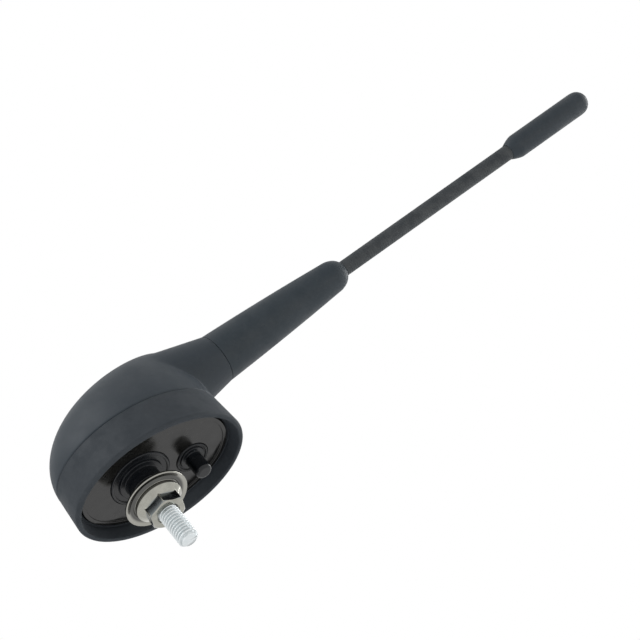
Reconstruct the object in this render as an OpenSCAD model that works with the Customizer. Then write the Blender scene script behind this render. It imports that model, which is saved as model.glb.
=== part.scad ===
// Roof antenna: a domed base that bolts through a roof panel, with a short screw-in mast.
// Frame: the origin is where the fixing bolt's axis meets the roof, +Z is up,
// and the mast leans back towards +X in the XZ plane. All lengths are in millimetres.

/* [Base oval] */
// Length of the base at its foot
base_l = 53.6; // [46:0.2:64]
// Width of the base at its foot
base_w = 40.4; // [34:0.2:48]
// How far the middle of the base lies behind the fixing bolt
base_x = 4.6; // [0:0.1:8]

/* [Rubber skirt] */
// Height of the skirt above the roof
skirt_h = 12.2; // [9:0.1:16]
// How much shorter the skirt is at its top than at its foot
skirt_draft_l = 1.5; // [0:0.1:3]
// How much narrower the skirt is at its top than at its foot
skirt_draft_w = 2.3; // [0:0.1:3.4]
// Thickness of the lip that seals on the roof
lip_t = 2.2; // [1.6:0.1:3]
// Radius of the lip's outer lower edge
lip_round = 0.9; // [0.4:0.1:1.2]
// Thickness of the skirt's wall above the lip
skirt_wall = 1.5; // [1:0.1:2.2]
// Thickness of the rubber tongue under the cover's wall
tongue_t = 1.5; // [1:0.1:2]

/* [Base plate] */
// Height of the plate's underside above the roof
recess_d = 3.4; // [2.4:0.1:5]
// Thickness of the plate
plate_t = 2.2; // [1.6:0.1:3]
// Gap between the plate's edge and the lip
moat_w = 1.3; // [0.8:0.1:2]
// Width of the raised ridge along the plate's edge
ridge_w = 1.3; // [0.8:0.1:2]
// How far the panel inside the ridge is sunk
panel_sink = 0.4; // [0.2:0.05:0.7]
// Height of the rib that locates the plate inside the cover
rib_h = 2.4; // [1.5:0.1:3.5]
// Thickness of that rib
rib_t = 1.4; // [1:0.1:2]

/* [Fixing bolt] */
// Thread diameter of the fixing bolt
bolt_d = 6; // [5:0.5:8]
// Length of the bolt below the roof
bolt_l = 22.5; // [18:0.5:30]
// Size of the bolt's hexagon head across its flats
bolt_af = 10; // [8:0.5:13]
// Height of the bolt's head
bolt_head_h = 4; // [3:0.5:6]
// Diameter of the bush round the bolt
bush_d = 10.6; // [9:0.2:13]
// Diameter of the bush's flange
bush_flange_d = 18.6; // [16:0.2:20]
// Diameter of the step at the foot of the bush
bush_step_d = 14; // [12:0.2:15.4]
// How far the bush reaches below the roof's surface
bush_reach = 1.2; // [0.6:0.1:2]

/* [Nut and washer] */
// Size of the nut across its flats
nut_af = 10; // [8:0.5:13]
// Height of the nut with its flange
nut_h = 6; // [4:0.5:8]
// Diameter of the nut's flange
nut_flange_d = 14.2; // [12:0.2:18]
// Depth of the nut's bearing face below the roof, as supplied
nut_z = 5.5; // [4.6:0.1:8]
// Diameter of the dished washer
washer_d = 19.5; // [16:0.5:24]
// Thickness of the dished washer
washer_t = 1; // [0.6:0.1:1.5]
// How far the washer is dished
washer_dish = 0.9; // [0.4:0.1:1.4]

/* [Locating peg] */
// How far the peg lies behind the bolt
peg_x = 16.3; // [15:0.1:18]
// How far the peg lies to the side of the bolt
peg_y = 3.3; // [0:0.1:5]
// Diameter of the peg
peg_d = 5; // [4:0.1:6]
// How far the peg reaches below the roof's surface
peg_reach = 3; // [2:0.1:6]
// Diameter of the peg's flange
peg_flange_d = 10; // [8:0.2:11]

/* [Cover] */
// Height of the cover's crown above the skirt
crown_h = 25.9; // [20:0.1:30]
// How far the crown lies behind the bolt
crown_x = 25; // [20:0.2:26]
// Wall thickness of the cover
cover_wall = 2.2; // [1.6:0.1:3]

/* [Mast joint] */
// Lean of the mast above the roof, in degrees
mast_lean = 7.7; // [4:0.1:14]
// How far the mast joint lies behind the bolt
joint_x = 39.4; // [36:0.1:44]
// Height of the mast joint above the roof
joint_z = 27.5; // [25:0.1:30]
// Diameter of the neck at the joint
neck_d = 14.9; // [13:0.1:17]
// Diameter of the neck at its root
neck_root_d = 25.6; // [22:0.1:28]
// Length of the neck along the mast
neck_l = 24; // [20:0.5:28]
// How far the neck's root rises above the mast's axis
neck_rise = 1.9; // [0:0.1:3]
// Thread diameter of the mast's screw
screw_d = 5; // [4:0.5:6]
// Length of the mast's screw
screw_l = 9.5; // [6:0.5:12]
// Diameter of the threaded socket in the neck
socket_d = 8.6; // [7.6:0.2:10]
// Length of the threaded socket
socket_l = 20; // [16:0.5:24]
// Section diameter of the seal ring at the joint
seal_d = 1.6; // [1.2:0.1:2]

/* [Contact strip] */
// Width of the strip between the bolt and the socket
strip_w = 8.5; // [7:0.5:11]
// Thickness of the strip
strip_t = 0.7; // [0.4:0.1:1]
// Thread diameter of the screw that holds the strip
strip_screw_d = 4; // [3:0.5:4]

/* [Mast] */
// Length of the mast from the joint to its tip
mast_l = 148.8; // [120:0.5:220]
// Length of the grip
grip_l = 48.4; // [36:0.2:60]
// Diameter of the grip's upper end, before its round
grip_top_d = 9.9; // [8:0.1:12]
// Length of the round at the grip's upper end
grip_round = 5.6; // [3:0.1:8]
// How much the grip's side swells between its ends
grip_swell = 0.2; // [0:0.05:0.5]
// Diameter of the rod with its sleeve
rod_d = 4.7; // [4:0.1:6]
// Wall thickness of the shrunk sleeve
sleeve_t = 0.45; // [0.3:0.05:0.7]
// Wire diameter of the winding under the sleeve
wire_d = 0.4; // [0.2:0.05:0.5]
// Diameter of the tip cap
cap_d = 7.5; // [6:0.1:9]
// Length of the tip cap
cap_l = 32.9; // [20:0.1:45]
// Length of the taper at the cap's lower end
cap_taper = 3.8; // [2:0.1:6]
// Diameter of the metal ferrule inside the grip
ferrule_d = 8; // [7:0.1:9]
// Length of the ferrule inside the grip
ferrule_l = 28; // [20:0.5:32]

/* [Hidden] */
SIDES = 72;           // corners of every oval
thread_gap = 0.05;    // play of a screw in its hole, on the radius
slip_gap = 0.15;      // play of a piece that slides over another, on the radius
seat_gap = 0.1;       // width of the shadow line between two seated pieces
cut = 0.5;            // how far a cutting tool runs past a face

// Foot and top of the skirt
foot_a = base_l / 2;
foot_b = base_w / 2;
top_a = (base_l - skirt_draft_l) / 2;
top_b = (base_w - skirt_draft_w) / 2;
// Levels of the base plate
plate_z0 = recess_d;
plate_z1 = recess_d + plate_t;
plate_a = foot_a - lip_t - moat_w;
plate_b = foot_b - lip_t - moat_w;
// Wall of the cover inside the skirt
wall_z0 = plate_z1;
wall_a = top_a - skirt_wall - seat_gap;
wall_b = top_b - skirt_wall - seat_gap;
// Bolt, bush and nut
bolt_r = bolt_d / 2;
bush_r = bush_d / 2;
head_z0 = plate_z1 + strip_t;
washer_hole_r = bolt_r + 0.25;
// Neck and socket, along the mast from the joint
ring_seat_d = seal_d;
socket_z1 = -ring_seat_d;
socket_z0 = socket_z1 - socket_l;
screw_r = screw_d / 2;
strip_screw_r = strip_screw_d / 2;
strip_screw_l = 6;
// Rod
core_r = rod_d / 2 - sleeve_t - wire_d;
winding_r = core_r + wire_d;
cap_z0 = mast_l - cap_l;

// Place of the socket's rear end, where the contact strip ends
strip_end_x = joint_x + socket_z0 * cos(mast_lean);
strip_end_z = joint_z + socket_z0 * sin(mast_lean);

// Points of an oval whose middle lies at x
function oval(a, b, x = base_x) = [for (i = [0 : SIDES - 1])
    let (t = 360 * i / SIDES) [x + a * cos(t), b * sin(t)]];
function lift(points, z) = [for (p = points) [p[0], p[1], z]];
function mix(u, v, k) = u + (v - u) * k;

// A closed skin over a stack of rings
module stack(rings) {
    n = len(rings[0]);
    m = len(rings);
    sides = [for (j = [0 : m - 2], i = [0 : n - 1], h = [0, 1])
        let (p = j * n + i, q = j * n + (i + 1) % n)
        h == 0 ? [p, p + n, q] : [q, p + n, q + n]];
    lower = [[for (i = [0 : n - 1]) i]];
    upper = [[for (i = [n - 1 : -1 : 0]) (m - 1) * n + i]];
    polyhedron([for (r = rings) each r], concat(lower, sides, upper), convexity = 6);
}

module slab(points, z0, z1) {
    translate([0, 0, z0]) linear_extrude(z1 - z0) polygon(points);
}

// Things that lie along the mast: +Z becomes the mast's direction
module along_mast() {
    translate([joint_x, 0, joint_z]) rotate([0, 90 - mast_lean, 0]) children();
}

// Ring round the skirt at a height, smaller than the outer face by inset
function skirt_ring(inset, z) =
    let (k = z / skirt_h)
    lift(oval(mix(foot_a, top_a, k) - inset, mix(foot_b, top_b, k) - inset), z);

module skirt_gasket() color("#3a3f45") {
    tongue_z1 = wall_z0;
    tongue_z0 = tongue_z1 - tongue_t;
    sole = 0.1;
    difference() {
        union() {
            slab(oval(foot_a - lip_round, foot_b - lip_round), 0, sole);
            stack(concat(
                [for (t = [90 : -22.5 : 0])
                    skirt_ring(lip_round * (1 - cos(t)), sole + lip_round * (1 - sin(t)))],
                [skirt_ring(0, skirt_h / 2), skirt_ring(0, skirt_h - 0.3), skirt_ring(0.3, skirt_h)]));
        }
        // Recess inside the lip, then the seats of the plate and of the cover's wall
        slab(oval(foot_a - lip_t, foot_b - lip_t), -cut, tongue_z0);
        slab(oval(plate_a + slip_gap, plate_b + slip_gap), tongue_z0 - cut, tongue_z1 + cut);
        slab(oval(wall_a + seat_gap / 2, wall_b + seat_gap / 2), tongue_z1, skirt_h + cut);
    }
}

module base_plate() color("#15171a") {
    rib_a = wall_a - cover_wall - slip_gap;
    rib_b = wall_b - cover_wall - slip_gap;
    difference() {
        union() {
            slab(oval(plate_a, plate_b), plate_z0, plate_z1);
            difference() {
                slab(oval(rib_a, rib_b), plate_z1 - cut, plate_z1 + rib_h);
                slab(oval(rib_a - rib_t, rib_b - rib_t), plate_z1, plate_z1 + rib_h + cut);
            }
        }
        // Sunk panel inside the ridge
        slab(oval(plate_a - ridge_w, plate_b - ridge_w), plate_z0 - cut, plate_z0 + panel_sink);
        // Seat and hole of the bush
        translate([0, 0, plate_z0 - cut])
            cylinder(r = bush_flange_d / 2 + slip_gap, h = cut + panel_sink + 1, $fn = 64);
        cylinder(r = bush_r + thread_gap, h = plate_z1 + cut, $fn = 64);
        // Seat and hole of the peg
        translate([peg_x, peg_y, plate_z0 - cut])
            cylinder(r = peg_flange_d / 2 + slip_gap, h = cut + panel_sink + 0.8, $fn = 64);
        translate([peg_x, peg_y, 0])
            cylinder(r = peg_d / 2 + thread_gap, h = plate_z1 + cut, $fn = 48);
    }
}

module stud_bush() color("#1b1d20") {
    flange_z0 = plate_z0 + panel_sink;
    flange_r = bush_flange_d / 2;
    step_r = bush_step_d / 2;
    bead = 0.45;
    difference() {
        union() {
            // Flange with a rounded bead along its edge, and the step at the collar's foot
            rotate_extrude($fn = 72) polygon([
                [0, flange_z0 - 0.9], [step_r - 0.4, flange_z0 - 0.9], [step_r - 0.1, flange_z0 - 0.6],
                [step_r, flange_z0],
                for (t = [180 : 30 : 360])
                    [flange_r - bead + bead * cos(t), flange_z0 + bead * sin(t)],
                [flange_r, flange_z0 + 1], [0, flange_z0 + 1]]);
            translate([0, 0, -bush_reach]) cylinder(r = bush_r, h = plate_z1 + bush_reach, $fn = 64);
        }
        translate([0, 0, -bush_reach - cut])
            cylinder(r = bolt_r + thread_gap, h = plate_z1 + bush_reach + 2 * cut, $fn = 64);
    }
}

module locating_peg() color("#202226") {
    flange_z0 = plate_z0 + panel_sink;
    flange_r = peg_flange_d / 2;
    peg_r = peg_d / 2;
    bevel = 0.9;
    bead = 0.4;
    translate([peg_x, peg_y, 0]) {
        // Rounded pin, step, flange with a bead along its edge, and the staked head above the plate
        rotate_extrude($fn = 64) polygon([
            [0, -peg_reach], [peg_r - bevel, -peg_reach],
            for (t = [15 : 15 : 75]) [peg_r - bevel * (1 - sin(t)), -peg_reach + bevel * (1 - cos(t))],
            [peg_r, -peg_reach + bevel], [peg_r, flange_z0 - 0.5],
            [peg_r + 1.2, flange_z0 - 0.5], [peg_r + 1.4, flange_z0],
            for (t = [180 : 30 : 360]) [flange_r - bead + bead * cos(t), flange_z0 + bead * sin(t)],
            [flange_r, flange_z0 + 0.8],
            [peg_r, flange_z0 + 0.8], [peg_r, plate_z1], [peg_r + 0.8, plate_z1],
            [peg_r + 0.5, plate_z1 + 0.8], [0, plate_z1 + 0.9]]);
    }
}

// A hexagon bar with one end chamfered, from z = 0 up
module hexagon(af, h) {
    corner = af / sqrt(3);
    chamfer = 0.07 * af;
    intersection() {
        cylinder(r = corner, h = h, $fn = 6);
        union() {
            cylinder(r = 1.02 * corner, h = h - chamfer, $fn = 64);
            translate([0, 0, h - chamfer])
                cylinder(r1 = 1.02 * corner, r2 = 0.485 * af, h = chamfer, $fn = 64);
        }
    }
}

module fixing_bolt() color("#b9bdc0") {
    tip = 0.14 * bolt_d;
    translate([0, 0, -bolt_l]) cylinder(r1 = bolt_r - tip, r2 = bolt_r, h = tip, $fn = 64);
    translate([0, 0, tip - bolt_l]) cylinder(r = bolt_r, h = bolt_l - tip + head_z0, $fn = 64);
    translate([0, 0, head_z0]) hexagon(bolt_af, bolt_head_h);
}

module dished_washer() color("#c9cbc8") {
    outer_r = washer_d / 2;
    flat_r = nut_flange_d / 2 - 1.6;
    edge = 0.12;
    // The dish curves away from the nut between the flat and the rim
    dish = [for (i = [0 : 6]) let (k = i / 6)
        [mix(flat_r, outer_r - edge, k), -nut_z + washer_dish * pow(k, 1.7)]];
    rotate_extrude($fn = 96) polygon(concat(
        [[washer_hole_r, -nut_z]], dish,
        [[outer_r, -nut_z + washer_dish + edge], [outer_r, -nut_z + washer_dish + washer_t - edge]],
        [for (i = [6 : -1 : 0]) dish[i] + [0, washer_t]],
        [[washer_hole_r, -nut_z + washer_t]]));
}

module flange_nut() color("#c2c5c7") {
    flange_r = nut_flange_d / 2;
    flange_t = 1.1;
    edge = 0.25;
    translate([0, 0, -nut_z]) mirror([0, 0, 1]) difference() {
        union() {
            rotate([0, 0, 25]) hexagon(nut_af, nut_h);
            rotate_extrude($fn = 96) polygon([
                [0, 0], [flange_r - edge, 0], [flange_r, edge],
                for (t = [0 : 30 : 90])
                    [flange_r - edge * (1 - cos(t)), flange_t - edge * (1 - sin(t))],
                [nut_af / 2 + 0.3, 0.45 * nut_h], [0, 0.45 * nut_h]]);
        }
        translate([0, 0, -cut]) cylinder(r = bolt_r + thread_gap, h = nut_h + 2 * cut, $fn = 64);
        // Countersunk mouths of the thread
        translate([0, 0, nut_h - 0.5]) cylinder(r1 = bolt_r, r2 = bolt_r + 0.6, h = 0.6, $fn = 64);
        translate([0, 0, -0.1]) cylinder(r1 = bolt_r + 0.6, r2 = bolt_r, h = 0.6, $fn = 64);
    }
}

// Side profile of the cover, k from 0 at the skirt to 1 at the crown: how far the front and
// the back have drawn in towards the crown, and the share of the half width that is left
function front_k(k) = pow(1 - pow(k, 1.9), 0.4);
function back_k(k) = pow(1 - pow(k, 2.55), 0.35);
function width_k(k) = pow(1 - pow(k, 1.5), 0.43);

// Ring of the cover at a height, k, inside its skin by inset
function cover_ring(k, inset) =
    let (x0 = crown_x - (crown_x - base_x + top_a - inset) * front_k(k),
         x1 = crown_x + (base_x + top_a - inset - crown_x) * back_k(k))
    lift(oval((x1 - x0) / 2, (top_b - inset) * width_k(k), (x0 + x1) / 2),
         skirt_h + (crown_h - inset) * k);

module cover_skin(inset, steps) {
    stack([for (i = [0 : steps]) cover_ring(0.9998 * sin(90 * i / steps), inset)]);
}

// Section of the neck at a distance from the joint, with its top and bottom drawn in by flat
function neck_ring(z, flat) =
    let (k = -z / neck_l, r = mix(neck_d, neck_root_d, k) / 2)
    lift([for (p = oval(r - flat, r, 0)) [p[0] - neck_rise * k, p[1]]], z);

module neck() {
    along_mast() stack([neck_ring(-neck_l, 2.4), neck_ring(-0.7 * neck_l, 0), neck_ring(0, 0)]);
}

module dome_cover() color("#3c4148") {
    boss_r = socket_d / 2 + 2;
    difference() {
        union() {
            difference() {
                union() {
                    cover_skin(0, 18);
                    neck();
                    slab(oval(wall_a, wall_b), wall_z0, skirt_h + cut);
                }
                cover_skin(cover_wall, 10);
                slab(oval(wall_a - cover_wall, wall_b - cover_wall), wall_z0 - cut, skirt_h + 0.01);
            }
            // Boss round the socket, standing into the hollow of the cover
            along_mast() translate([0, 0, socket_z0]) cylinder(r = boss_r, h = socket_l - 3, $fn = 64);
        }
        along_mast() {
            translate([0, 0, socket_z0 - cut])
                cylinder(r = socket_d / 2, h = socket_l + cut, $fn = 64);
            translate([0, 0, socket_z1]) cylinder(r = neck_d / 2 - 1.9, h = ring_seat_d + cut, $fn = 64);
        }
    }
}

module mast_socket() color("#b08d4a") {
    along_mast() difference() {
        translate([0, 0, socket_z0]) cylinder(r = socket_d / 2, h = socket_l, $fn = 64);
        translate([0, 0, socket_z1 - screw_l - 1])
            cylinder(r = screw_r + thread_gap, h = screw_l + 1 + cut, $fn = 64);
        translate([0, 0, socket_z0 - cut])
            cylinder(r = strip_screw_r + thread_gap, h = strip_screw_l + 1 + cut, $fn = 48);
    }
}

// Outline of a bent strip that follows a path, half of its thickness to each side
function unit(v) = v / norm(v);
function normal(path, i) =
    let (u = i > 0 ? unit(path[i] - path[i - 1]) : unit(path[1] - path[0]),
         v = i < len(path) - 1 ? unit(path[i + 1] - path[i]) : u,
         w = unit(u + v))
    [-w[1], w[0]] / (w * u);
function strip_outline(path, t) = concat(
    [for (i = [0 : len(path) - 1]) path[i] + normal(path, i) * t / 2],
    [for (i = [len(path) - 1 : -1 : 0]) path[i] - normal(path, i) * t / 2]);

module contact_strip() color("#c2a05a") {
    tab_dir = [-sin(mast_lean), cos(mast_lean)];
    tab_mid = [strip_end_x, strip_end_z] - strip_t / 2 * [cos(mast_lean), sin(mast_lean)];
    foot_z = plate_z1 + strip_t / 2;
    path = [[-bolt_af * 0.55, foot_z], [bolt_af * 0.9, foot_z],
            tab_mid - tab_dir * 7, tab_mid + tab_dir * 5];
    difference() {
        translate([0, strip_w / 2, 0]) rotate([90, 0, 0])
            linear_extrude(strip_w) polygon(strip_outline(path, strip_t));
        translate([0, 0, plate_z1 - cut]) cylinder(r = bolt_r + slip_gap, h = 3, $fn = 48);
        along_mast() translate([0, 0, socket_z0 - 3]) cylinder(r = strip_screw_r + slip_gap, h = 4, $fn = 48);
    }
}

module lock_washer() color("#a9adb0") {
    along_mast() translate([0, 0, socket_z0 - strip_t - 0.9]) difference() {
        cylinder(r = strip_screw_r + 1.5, h = 0.9, $fn = 48);
        translate([0, 0, -cut]) cylinder(r = strip_screw_r + slip_gap, h = 2, $fn = 48);
        // The split of the spring washer
        rotate([0, 0, 90]) translate([0, -0.25, -cut]) cube([strip_screw_r + 2, 0.5, 2]);
    }
}

module strip_screw() color("#aeb2b5") {
    head_r = strip_screw_r + 1.7;
    head_z1 = socket_z0 - strip_t - 0.9;
    along_mast() difference() {
        union() {
            translate([0, 0, head_z1]) cylinder(r = strip_screw_r, h = strip_screw_l + strip_t + 0.9, $fn = 48);
            translate([0, 0, head_z1 - 1.6]) cylinder(r = head_r, h = 1.6, $fn = 48);
            translate([0, 0, head_z1 - 2.3]) cylinder(r1 = head_r - 0.9, r2 = head_r, h = 0.7, $fn = 48);
        }
        // Cross recess
        for (a = [0, 90]) rotate([0, 0, a])
            translate([-0.4, -1.7, head_z1 - 2.3 - cut]) cube([0.8, 3.4, 1.4 + cut]);
    }
}

module seal_ring() color("#26282b") {
    along_mast() translate([0, 0, socket_z1 / 2]) rotate_extrude($fn = 64)
        translate([screw_r + 1.7, 0]) circle(r = seal_d / 2, $fn = 24);
}

module mast_ferrule() color("#b4b8ba") {
    ferrule_r = ferrule_d / 2;
    tip = 0.16 * screw_d;
    along_mast() difference() {
        rotate_extrude($fn = 64) polygon([
            [0, socket_z1 - screw_l], [screw_r - tip, socket_z1 - screw_l],
            [screw_r, socket_z1 - screw_l + tip], [screw_r, socket_z1],
            [screw_r + 0.6, socket_z1], [screw_r + 0.6, 0],
            [ferrule_r + 1, 0], [ferrule_r + 1, 1.6], [ferrule_r, 1.6],
            // Grooves that key the moulded grip
            for (z = [9, 17]) each [[ferrule_r, z], [ferrule_r - 0.7, z + 0.7],
                                    [ferrule_r - 0.7, z + 2.3], [ferrule_r, z + 3]],
            [ferrule_r, ferrule_l - 0.8], [ferrule_r - 0.8, ferrule_l], [0, ferrule_l]]);
        translate([0, 0, 8]) cylinder(r = core_r, h = ferrule_l, $fn = 48);
    }
}

module mast_core() color("#d8cfae") {
    along_mast() translate([0, 0, 8]) cylinder(r = core_r, h = mast_l - 8 - cap_d * 0.7, $fn = 48);
}

// A tube along the mast, from z0 to z1
module mast_tube(r_in, r_out, z0, z1) {
    along_mast() translate([0, 0, z0]) difference() {
        cylinder(r = r_out, h = z1 - z0, $fn = 64);
        translate([0, 0, -cut]) cylinder(r = r_in, h = z1 - z0 + 2 * cut, $fn = 64);
    }
}

module mast_winding() color("#b26a3c") {
    mast_tube(core_r, winding_r, ferrule_l, cap_z0 + 3);
}

module mast_sleeve() color("#2e3136") {
    mast_tube(winding_r, rod_d / 2, ferrule_l, cap_z0 + 3);
}

module mast_grip() color("#33373d") {
    top_r = grip_top_d / 2;
    nose_r = rod_d / 4;
    // The round stops where it meets the rod
    stop = acos((rod_d / 2 - nose_r) / (top_r - nose_r));
    round_z = grip_l - grip_round * sin(stop);
    side = [for (i = [0 : 8]) let (k = i / 8)
        [mix(neck_d / 2, top_r, k) + 4 * grip_swell * k * (1 - k), mix(seat_gap, round_z, k)]];
    nose = [for (i = [1 : 8]) let (t = stop * i / 8)
        [nose_r + (top_r - nose_r) * cos(t), round_z + grip_round * sin(t)]];
    ferrule_r = ferrule_d / 2;
    along_mast() rotate_extrude($fn = 96) polygon(concat(
        [[ferrule_r + 1, seat_gap], [neck_d / 2 - 0.3, seat_gap], [neck_d / 2, seat_gap + 0.3]],
        [for (i = [1 : 8]) side[i]], nose,
        [[rod_d / 2, ferrule_l], [ferrule_r - 0.8, ferrule_l], [ferrule_r, ferrule_l - 0.8],
         for (z = [17, 9]) each [[ferrule_r, z + 3], [ferrule_r - 0.7, z + 2.3],
                                 [ferrule_r - 0.7, z + 0.7], [ferrule_r, z]],
         [ferrule_r, 1.6], [ferrule_r + 1, 1.6]]));
}

module tip_cap() color("#34383e") {
    cap_r = cap_d / 2;
    end_r = cap_r - 0.06;
    lip_r = rod_d / 2 + 0.2;
    core_end = mast_l - cap_d * 0.7;
    along_mast() rotate_extrude($fn = 72) polygon(concat(
        [[rod_d / 2, cap_z0], [lip_r, cap_z0]],
        [for (i = [1 : 6]) let (t = 15 * i)
            [mix(lip_r, cap_r, sin(t)), mix(cap_z0, cap_z0 + cap_taper, 0.35 * (1 - cos(t)) + 0.65 * sin(t))]],
        [for (i = [0 : 8]) let (t = 90 * i / 8)
            [i == 8 ? 0 : end_r * cos(t), mast_l - end_r * (1 - sin(t))]],
        [[0, core_end], [core_r, core_end], [core_r, cap_z0 + 3], [rod_d / 2, cap_z0 + 3]]));
}

dome_cover();
skirt_gasket();
base_plate();
stud_bush();
locating_peg();
fixing_bolt();
contact_strip();
strip_screw();
lock_washer();
mast_socket();
dished_washer();
flange_nut();
seal_ring();
mast_ferrule();
mast_core();
mast_winding();
mast_sleeve();
mast_grip();
tip_cap();
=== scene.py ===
# %% [markdown]
# # Dressing a roof antenna
# The solid model of a car's roof antenna is already made. Here it gets its looks: the matt cover and
# its rubber skirt, the gloss plate underneath, the zinc stud with its cut thread, and the mast.
# The frame is loaded first, because every piece has to sit where the solid model says.

# %% Load the solid model
from functools import partialmethod
from math import cos, pi, radians, sin, sqrt

import bmesh
import bpy
import numpy as np
from mathutils import Matrix, Vector


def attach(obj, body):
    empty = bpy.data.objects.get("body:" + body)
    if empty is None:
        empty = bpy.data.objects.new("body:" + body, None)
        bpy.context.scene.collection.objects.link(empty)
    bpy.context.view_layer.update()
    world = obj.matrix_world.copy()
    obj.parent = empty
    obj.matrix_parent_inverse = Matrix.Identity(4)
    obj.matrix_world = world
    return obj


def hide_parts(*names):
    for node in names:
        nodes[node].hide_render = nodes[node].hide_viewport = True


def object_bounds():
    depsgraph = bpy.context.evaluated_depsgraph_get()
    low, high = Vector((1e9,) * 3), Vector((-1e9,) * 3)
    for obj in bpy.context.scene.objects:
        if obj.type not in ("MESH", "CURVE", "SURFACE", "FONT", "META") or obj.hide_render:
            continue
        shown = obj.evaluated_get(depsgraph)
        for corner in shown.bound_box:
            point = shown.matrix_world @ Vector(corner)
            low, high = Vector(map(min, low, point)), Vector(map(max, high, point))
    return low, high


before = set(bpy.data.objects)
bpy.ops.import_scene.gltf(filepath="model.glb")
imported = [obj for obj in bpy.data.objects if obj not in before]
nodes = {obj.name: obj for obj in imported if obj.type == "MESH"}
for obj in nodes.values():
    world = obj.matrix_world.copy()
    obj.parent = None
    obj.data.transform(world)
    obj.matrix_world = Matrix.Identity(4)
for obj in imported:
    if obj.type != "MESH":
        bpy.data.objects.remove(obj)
solid_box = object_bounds()
MM = 0.001
print("loaded", len(nodes), "solids in", [[round(v / MM, 1) for v in end] for end in solid_box], "mm")

# %% [markdown]
# ## The camera
# The antenna is held up and seen from below and in front, through a long lens, so that the recess,
# the stud and the whole mast show at once. A camera's own axes are the columns of its matrix:
# right, up and backwards. Writing them down turns the picture exactly, roll included, which
# a "look at" helper can't do.

# %% Place the camera
scene = bpy.context.scene


def placed(name, data):
    """A new object in the scene, with a camera, a lamp or a mesh in it."""
    made = bpy.data.objects.new(name, data)
    scene.collection.objects.link(made)
    return made


right = Vector((0.83042, 0.08470, -0.55066))
down = Vector((-0.46107, 0.65933, -0.59389))
ahead = right.cross(down)
eye = Vector((-144.99, -516.32, -383.79)) * MM

camera_data = bpy.data.cameras.new("long_lens")
camera_data.lens, camera_data.sensor_width, camera_data.clip_start = 135, 36, 0.01
camera = placed("camera", camera_data)
camera.matrix_world = Matrix.Translation(eye) @ Matrix((right, -down, -ahead)).transposed().to_4x4()
scene.camera = camera
print("camera stands", round(eye.length / MM), "mm from the stud's axis")

# %% [markdown]
# ## Rules written as arithmetic
# Some shapes here follow a rule: the cover's dome, the neck, the threads and the wire on the rod.
# Geometry Nodes can work such a rule out on every point of a grid. Wiring dozens of Math nodes by
# hand is hard to read, so a small class stands for a number in a tree: adding or multiplying two
# of them adds the Math node behind it. Light, floor and finishes use it too.

# %% A number inside a node tree
class Term:
    """A number in a node tree. Arithmetic on terms adds the Math nodes that work it out."""

    def __init__(self, source):
        self.source, self.tree = source, source.id_data

    def math(self, operation, *others):
        return Term(node(self.tree, "ShaderNodeMath", {"operation": operation}, self, *others))

    __add__ = __radd__ = partialmethod(math, "ADD")
    __mul__ = __rmul__ = partialmethod(math, "MULTIPLY")
    __sub__ = partialmethod(math, "SUBTRACT")
    __rsub__ = partialmethod(math, "MULTIPLY_ADD", -1.0)
    __truediv__ = partialmethod(math, "DIVIDE")
    __pow__ = partialmethod(math, "POWER")


# %% Nodes with their inputs filled in
def put(value, slot):
    """Links a term, a socket or a node's first result to an input, or writes a plain value into it."""
    if isinstance(value, Term):
        value = value.source
    if isinstance(value, bpy.types.Node):
        value = value.outputs[0]
    if isinstance(value, bpy.types.NodeSocket):
        slot.id_data.links.new(value, slot)
    else:
        slot.default_value = value


def node(tree, kind, settings=None, *values, **inputs):
    """A new node with its settings and its inputs filled in, the first ones by order and the others
    by name. An underscore in a name is a space."""
    made = tree.nodes.new(kind)
    for key, value in (settings or {}).items():
        setattr(made, key, value)
    for slot, value in zip(made.inputs, values):
        put(value, slot)
    for key, value in inputs.items():
        put(value, made.inputs[key.replace("_", " ")])
    return made


# %% Limits, the parts of a place, and soft ramps
def held(value, low, high):
    """Keeps a term, or an array of numbers, between two limits."""
    if isinstance(value, Term):
        return value.math("MAXIMUM", low).math("MINIMUM", high)
    return np.clip(value, low, high)


def split(tree, place):
    """The three parts of a place, as terms."""
    return [Term(part) for part in node(tree, "ShaderNodeSeparateXYZ", None, place).outputs]


def ramped(value, low, high):
    """A term brought from a range to 0..1, softly and without running over."""
    return Term(node(value.tree, "ShaderNodeMapRange", {"interpolation_type": "SMOOTHSTEP"},
                     Value=value, From_Min=low, From_Max=high))


# %% [markdown]
# ## Light and floor
# Product photographs of small parts are lit softly with white all round. The key lamp stands high, at
# the picture's upper left, and four others light the sides and the underside. The world is plain white
# where the camera or a reflection sees it, and dim where it only lights, so the background is white
# and the black plastic isn't washed out.

# %% Build the white surroundings
scene.view_settings.view_transform = "Standard"
world = bpy.data.worlds.new("white_room")
scene.world = world
world.use_nodes = True
tree = world.node_tree
tree.nodes.clear()
path = tree.nodes.new("ShaderNodeLightPath").outputs
lit = 0.1
seen = Term(path["Is Camera Ray"])
for ray in ("Is Glossy Ray", "Is Transmission Ray"):
    seen = seen.math("MAXIMUM", path[ray])
background = node(tree, "ShaderNodeBackground", Color=(1, 1, 1, 1), Strength=seen * (1 - lit) + lit)
node(tree, "ShaderNodeOutputWorld", Surface=background)
aim = Vector((30, 0, 15))


def lamp(name, place, size, power, colour=(1, 1, 1)):
    """A soft square lamp at a place in millimetres, turned to the antenna."""
    data = bpy.data.lights.new(name, "AREA")
    data.size, data.energy, data.color = size * MM, power, colour
    made = placed(name, data)
    made.location = Vector(place) * MM
    made.rotation_euler = (aim - Vector(place)).to_track_quat("-Z", "Y").to_euler()


lamp("key", (-276, -406, 696), 500, 3.1, (0.96, 0.98, 1.0))
lamp("rim", (853, 209, 42), 500, 4.0)
lamp("under", (670, 540, -200), 450, 1.8)
lamp("left", (-700, -240, -360), 500, 2.4)
lamp("low", (468, -469, -542), 500, 2.2, (1.0, 0.95, 0.88))

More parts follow.
